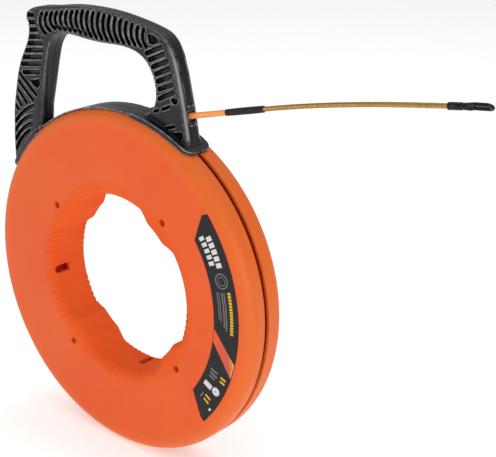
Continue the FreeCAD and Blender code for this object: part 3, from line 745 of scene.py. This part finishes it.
class Finish:
    """A procedural material: noise drives its colour, roughness and bump, and convex edges can be lightened:
    scuffs, and on the handle also painted highlights.
    """

    def __init__(self, name, roughness, metallic=0.0, coat=0.0, specular=0.5):
        self.material = bpy.data.materials.new(name)
        self.material.use_nodes = True
        self.tree = self.material.node_tree
        self.shader = self.tree.nodes["Principled BSDF"]
        self.shader.inputs["Roughness"].default_value = roughness
        self.shader.inputs["Metallic"].default_value = metallic
        self.shader.inputs["Coat Weight"].default_value = coat
        self.shader.inputs["Coat Roughness"].default_value = 0.15
        self.shader.inputs["Specular IOR Level"].default_value = specular
        self.place = self.tree.nodes.new("ShaderNodeTexCoord").outputs["Object"]

    def join(self, source, target):
        self.tree.links.new(source, target)

    def feed(self, value, target):
        """Join another node's output to a socket, or set the socket's own value."""
        if hasattr(value, "is_linked"):
            self.join(value, target)
        else:
            target.default_value = value

    def coordinate(self, axis):
        split = self.tree.nodes.new("ShaderNodeSeparateXYZ")
        self.join(self.place, split.inputs["Vector"])
        return split.outputs[axis]

    def noise(self, scale, detail=3.0, stretch=(1, 1, 1), roughness=0.55):
        mapping = self.tree.nodes.new("ShaderNodeMapping")
        mapping.inputs["Scale"].default_value = stretch
        self.join(self.place, mapping.inputs["Vector"])
        texture = self.tree.nodes.new("ShaderNodeTexNoise")
        texture.inputs["Scale"].default_value = scale
        texture.inputs["Detail"].default_value = detail
        texture.inputs["Roughness"].default_value = roughness
        self.join(mapping.outputs["Vector"], texture.inputs["Vector"])
        return texture.outputs["Fac"]

    def span(self, source, low, high, new_low, new_high):
        node = self.tree.nodes.new("ShaderNodeMapRange")
        for key, value in (("From Min", low), ("From Max", high), ("To Min", new_low),
                           ("To Max", new_high)):
            node.inputs[key].default_value = value
        self.join(source, node.inputs["Value"])
        return node.outputs["Result"]

    def mix(self, share, first, second):
        node = self.tree.nodes.new("ShaderNodeMix")
        node.data_type = "RGBA"
        self.join(share, node.inputs["Factor"])
        self.feed(first, node.inputs["A"])
        self.feed(second, node.inputs["B"])
        return node.outputs["Result"]

    def combine(self, operation, first, second):
        node = self.tree.nodes.new("ShaderNodeMath")
        node.operation = operation
        self.feed(first, node.inputs[0])
        self.feed(second, node.inputs[1])
        return node.outputs["Value"]

    def edge_scuff_and_highlight(self, low=0.53, high=0.62):
        """Share of the surface on a convex edge, broken up by noise: scuffs, and on the handle partly a
        painted highlight.
        """
        geometry = self.tree.nodes.new("ShaderNodeNewGeometry")
        edge = self.span(geometry.outputs["Pointiness"], low, high, 0.0, 1.0)
        return self.combine("MULTIPLY", edge, self.span(self.noise(260), 0.35, 0.7, 0.25, 1.0))

    def from_axis(self):
        """Distance from the case's axis."""
        sideways = self.coordinate("X")
        height = self.combine("SUBTRACT", self.coordinate("Z"), RADIUS)
        square = self.combine("ADD", self.combine("MULTIPLY", sideways, sideways),
                              self.combine("MULTIPLY", height, height))
        return self.combine("SQRT", square, 0.0)

    def off_seam(self, share):
        """The share, fading to nothing where the two halves meet."""
        away = self.combine("ABSOLUTE", self.combine("SUBTRACT", self.coordinate("Y"), SEAM), 0.0)
        return self.combine("MULTIPLY", share, self.span(away, 0.8 * MM, 1.5 * MM, 0.0, 1.0))

    def colour(self, source):
        self.join(source, self.shader.inputs["Base Color"])

    def rough(self, source, low, high):
        self.join(self.span(source, 0.3, 0.7, low, high), self.shader.inputs["Roughness"])

    def glow(self, weight, reach):
        """Light that spreads inside the plastic, by its reach in millimetres for red, green and blue."""
        self.shader.inputs["Subsurface Weight"].default_value = weight
        self.shader.inputs["Subsurface Radius"].default_value = reach
        self.shader.inputs["Subsurface Scale"].default_value = MM

    def bump(self, source, depth, strength=1.0):
        node = self.tree.nodes.new("ShaderNodeBump")
        node.inputs["Distance"].default_value = depth
        node.inputs["Strength"].default_value = strength
        self.join(source, node.inputs["Height"])
        self.join(node.outputs["Normal"], self.shader.inputs["Normal"])


def case_plastic():
    """Orange moulded plastic: fine grain, faint flow marks, scuffed edges, a dull hub wall, and a painted
    highlight that makes the rim paler.
    """
    finish = Finish("case_orange", 0.44, specular=0.3)
    reach = finish.from_axis()
    flow = finish.span(finish.noise(14, 2.0), 0.35, 0.65, 0.0, 1.0)
    base = finish.mix(flow, tone(224, 84, 20), tone(227, 90, 24))
    # Painted highlight: from 138 to 147 mm out the colour turns paler and yellower, standing in for the soft
    # highlight along the rim.
    base = finish.mix(finish.span(reach, 138 * MM, 147 * MM, 0.0, 1.0), base, tone(222, 101, 31))
    finish.colour(finish.mix(finish.edge_scuff_and_highlight(0.56, 0.68), base, tone(238, 128, 76)))
    grain = finish.span(finish.noise(90, 4.0), 0.3, 0.7, 0.40, 0.50)
    dull = finish.span(reach, 82 * MM, 92 * MM, 0.40, 0.0)
    finish.join(finish.combine("ADD", grain, dull), finish.shader.inputs["Roughness"])
    finish.bump(finish.noise(2600, 2.0), 0.03 * MM, 0.35)
    finish.glow(0.12, (3.0, 0.4, 0.1))
    return finish.material


def handle_plastic():
    """Black glass-filled nylon: mould grain, dusty sheen, grey on convex edges that is partly scuffing and
    partly painted highlight, and a painted highlight along the front leg's outer edge.
    """
    finish = Finish("handle_black", 0.34, specular=0.33)
    cloud = finish.span(finish.noise(35, 3.0), 0.35, 0.65, 0.0, 1.0)
    base = finish.mix(cloud, tone(9, 8, 9), tone(16, 15, 16))
    # Painted highlight along the front leg's outer edge, from the share kept on the mesh.
    painted_edge_highlight = finish.tree.nodes.new("ShaderNodeAttribute")
    painted_edge_highlight.attribute_name = "painted_edge_highlight"
    # Grey on convex edges, partly scuffing and partly painted highlight: it draws the bright lines along the
    # rib edges.
    edges = finish.off_seam(finish.edge_scuff_and_highlight(0.506, 0.535))
    scuff_and_painted_highlight = finish.combine("MAXIMUM", edges, painted_edge_highlight.outputs["Fac"])
    finish.colour(finish.mix(scuff_and_painted_highlight, base, tone(146, 145, 148)))
    finish.rough(finish.noise(120, 4.0), 0.28, 0.40)
    finish.bump(finish.noise(1900, 3.0), 0.04 * MM, 0.5)
    return finish.material


def tape_fibre(along_x=True):
    """Orange glass-fibre rod: streaks of fibre along it under a clear resin skin.

    The wound tape's inner turns also carry a faint red painted glow, an emission that stands in for the
    light that comes through the case's thin walls.
    """
    finish = Finish("tape_fibre" if along_x else "tape_fibre_wound", 0.32, coat=0.35)
    stretch_along = (12, 600, 600) if along_x else (30, 300, 30)
    streaks = finish.span(finish.noise(1.4, 2.0, stretch_along), 0.35, 0.65, 0.0, 1.0)
    finish.colour(finish.mix(streaks, tone(238, 138, 50), tone(248, 158, 70)))
    finish.rough(streaks, 0.28, 0.4)
    finish.bump(streaks, 0.02 * MM, 0.4)
    if not along_x:
        # Painted glow: red emission on the inner turns, fading out between 116 and 124 mm from the axis,
        # none on the outer turns.
        outer_turns = finish.span(finish.from_axis(), 116 * MM, 124 * MM, 0.0, 1.0)
        glow = finish.mix(outer_turns, tone(120, 14, 16), (0, 0, 0, 1))
        finish.join(glow, finish.shader.inputs["Emission Color"])
        finish.shader.inputs["Emission Strength"].default_value = 0.6
    return finish.material


def ferrule_rubber():
    """Black sleeve: faint wrinkles round it and a dull skin."""
    finish = Finish("ferrule_black", 0.46, specular=0.3)
    finish.colour(finish.mix(finish.noise(400, 3.0), tone(12, 11, 9), tone(24, 21, 17)))
    finish.rough(finish.noise(300, 3.0), 0.36, 0.55)
    finish.bump(finish.noise(3, 3.0, (320, 90, 90)), 0.05 * MM, 0.5)
    return finish.material


def leader_brass():
    """Brass-coloured wire: smooth and bright, with a faint shade from turn to turn."""
    finish = Finish("leader_brass", 0.26, metallic=1.0)
    shade = finish.span(finish.noise(2.2, 2.0, (500, 60, 60)), 0.4, 0.7, 0.0, 1.0)
    finish.colour(finish.mix(shade, tone(178, 144, 78), tone(162, 128, 62)))
    finish.rough(shade, 0.24, 0.32)
    finish.bump(finish.noise(2.2, 2.0, (900, 300, 300)), 0.01 * MM, 0.1)
    return finish.material


def eye_enamel():
    """Glossy black enamel with pinhole ripples and scuffed high spots."""
    finish = Finish("eye_enamel", 0.16, specular=0.28)
    finish.colour(finish.mix(finish.edge_scuff_and_highlight(0.56, 0.66), tone(5, 5, 6), tone(34, 34, 36)))
    finish.rough(finish.noise(500, 3.0), 0.10, 0.20)
    finish.bump(finish.noise(420, 2.0), 0.04 * MM, 0.35)
    return finish.material


def steel():
    """Zinc-plated steel: brushed, slightly yellowed in patches."""
    finish = Finish("screw_steel", 0.3, metallic=1.0)
    finish.colour(finish.mix(finish.noise(300, 3.0), tone(186, 186, 182), tone(160, 158, 148)))
    finish.rough(finish.noise(4, 2.0, (900, 60, 60)), 0.24, 0.42)
    finish.bump(finish.noise(4, 2.0, (900, 60, 60)), 0.01 * MM, 0.3)
    return finish.material


def shoe_plastic():
    """Natural-grey acetal of the guide shoes: waxy and a little mottled."""
    finish = Finish("shoe_acetal", 0.45)
    finish.colour(finish.mix(finish.noise(120, 3.0), tone(36, 35, 36), tone(54, 52, 52)))
    finish.rough(finish.noise(200, 3.0), 0.4, 0.52)
    finish.bump(finish.noise(1500, 2.0), 0.02 * MM, 0.4)
    return finish.material


def printed(name, colour, darker):
    """Ink on the label's film: slightly uneven cover and a satin skin."""
    finish = Finish(name, 0.40, specular=0.16)
    cover = finish.span(finish.noise(900, 3.0), 0.45, 0.75, 0.0, 1.0)
    finish.colour(finish.mix(cover, colour, darker))
    finish.rough(finish.noise(60, 3.0), 0.28, 0.40)
    finish.bump(finish.noise(1400, 2.0), 0.01 * MM, 0.3)
    return finish.material


def stripe_ink():
    """The label's stripe: orange at its inner end, red in the middle, pale at its outer end."""
    finish = Finish("print_stripe", 0.40, specular=0.16)
    share = finish.span(finish.coordinate("X"), 112 * MM, 136 * MM, 0.0, 1.0)
    grain = finish.combine("MULTIPLY", finish.noise(420, 4.0), 0.35)
    share = finish.combine("ADD", share, finish.combine("SUBTRACT", grain, 0.17))
    ramp = finish.tree.nodes.new("ShaderNodeValToRGB")
    stops = [(0.0, tone(232, 92, 48)), (0.35, tone(214, 84, 60)), (0.72, tone(190, 92, 70)),
             (0.9, tone(232, 150, 90))]
    while len(ramp.color_ramp.elements) < len(stops):
        ramp.color_ramp.elements.new(0.5)
    for element, (place, colour) in zip(ramp.color_ramp.elements, stops):
        element.position = place
        element.color = colour
    finish.join(share, ramp.inputs["Fac"])
    finish.colour(ramp.outputs["Color"])
    finish.bump(finish.noise(1400, 2.0), 0.01 * MM, 0.3)
    return finish.material


def floor_paint():
    """Pale studio paper, lit a little from within so that it stays near white."""
    finish = Finish("studio_floor", 0.9, specular=0.1)
    finish.colour(finish.mix(finish.noise(3, 2.0), (0.93, 0.93, 0.93, 1), (0.95, 0.95, 0.95, 1)))
    finish.shader.inputs["Emission Color"].default_value = (1, 1, 1, 1)
    finish.shader.inputs["Emission Strength"].default_value = 0.35
    return finish.material


def dress(obj, material):
    """Give the object this one material."""
    obj.data.materials.clear()
    obj.data.materials.append(material)


# ------------------------------------------------------------ studio
def area_light(name, place, aim, width, height, power):
    """A white rectangular lamp at a place, turned to its aim."""
    data = bpy.data.lights.new(name, "AREA")
    data.shape = "RECTANGLE"
    data.size = width
    data.size_y = height
    data.energy = power
    lamp = bpy.data.objects.new(name, data)
    bpy.context.scene.collection.objects.link(lamp)
    lamp.location = place
    lamp.rotation_mode = "QUATERNION"
    lamp.rotation_quaternion = (Vector(aim) - Vector(place)).to_track_quat("-Z", "Y")


def make_studio():
    """Pale floor, even white surroundings and four soft lamps."""
    reach = 12.0
    vertices = [(-reach, -reach, 0), (reach, -reach, 0), (reach, reach, 0), (-reach, reach, 0)]
    floor = link("floor", mesh_of("floor", vertices, [(0, 1, 2, 3)]))
    dress(floor, floor_paint())
    world = bpy.data.worlds.new("studio")
    world.use_nodes = True
    background = world.node_tree.nodes["Background"].inputs
    background["Color"].default_value = (1, 1, 1, 1)
    background["Strength"].default_value = 0.46
    bpy.context.scene.world = world
    area_light("overhead", (0.1, 0.3, 2.4), (0, 0, 0), 3.0, 3.0, 26)
    area_light("key", (1.5, -1.5, 1.5), CENTRE, 1.1, 1.1, 4)
    area_light("fill", (-1.8, -1.6, 0.9), CENTRE, 1.2, 1.2, 6)
    area_light("edge", (1.25, -0.95, 0.33), (0.07, 0, 0.3), 0.5, 0.5, 6)
    bpy.context.scene.view_settings.view_transform = "Standard"


# ------------------------------------------------------------ assembly
make_camera()
centre_line = route_line()
route_end = distances(centre_line)[-1]
tape, tape_points = make_tape(centre_line)
leader, leader_points = make_leader(centre_line, route_end)
ferrule = make_ferrule(centre_line)
collar, eye = make_eye(centre_line, route_end)

front_shell = make_shell(-1, "case_front", "case_front_shell")
rear_shell = make_shell(1, "case_rear", "case_rear_shell")
handle_front = make_handle_half(-1, "handle_front", "handle_front_half")
handle_rear = make_handle_half(1, "handle_rear", "handle_rear_half")
coil = make_coil()

orange = case_plastic()
black = handle_plastic()
fibre = tape_fibre()
enamel = eye_enamel()
metal = steel()
acetal = shoe_plastic()
for piece, finish in ((front_shell, orange), (rear_shell, orange), (handle_front, black),
                      (handle_rear, black), (tape, fibre), (coil, tape_fibre(along_x=False)),
                      (ferrule, ferrule_rubber()), (leader, leader_brass()), (collar, enamel),
                      (eye, enamel)):
    dress(piece, finish)
for name, finish in (("case_screws", metal), ("handle_screws", metal), ("tape_anchor_clip", metal),
                     ("tape_anchor_screw", metal), ("front_guide_shoe", acetal), ("rear_guide_shoe", acetal),
                     ("exit_bushing", acetal), ("tape_inside", fibre),
                     ("front_label", printed("label_film", tone(34, 32, 33), tone(28, 27, 28)))):
    dress(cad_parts[name], finish)
make_prints({
    "print_white": printed("print_white", tone(214, 212, 212), tone(190, 188, 190)),
    "print_grey": printed("print_grey", tone(118, 116, 118), tone(96, 94, 98)),
    "print_yellow": printed("print_yellow", tone(226, 178, 40), tone(196, 150, 34)),
    "print_stripe": stripe_ink(),
})
make_studio()
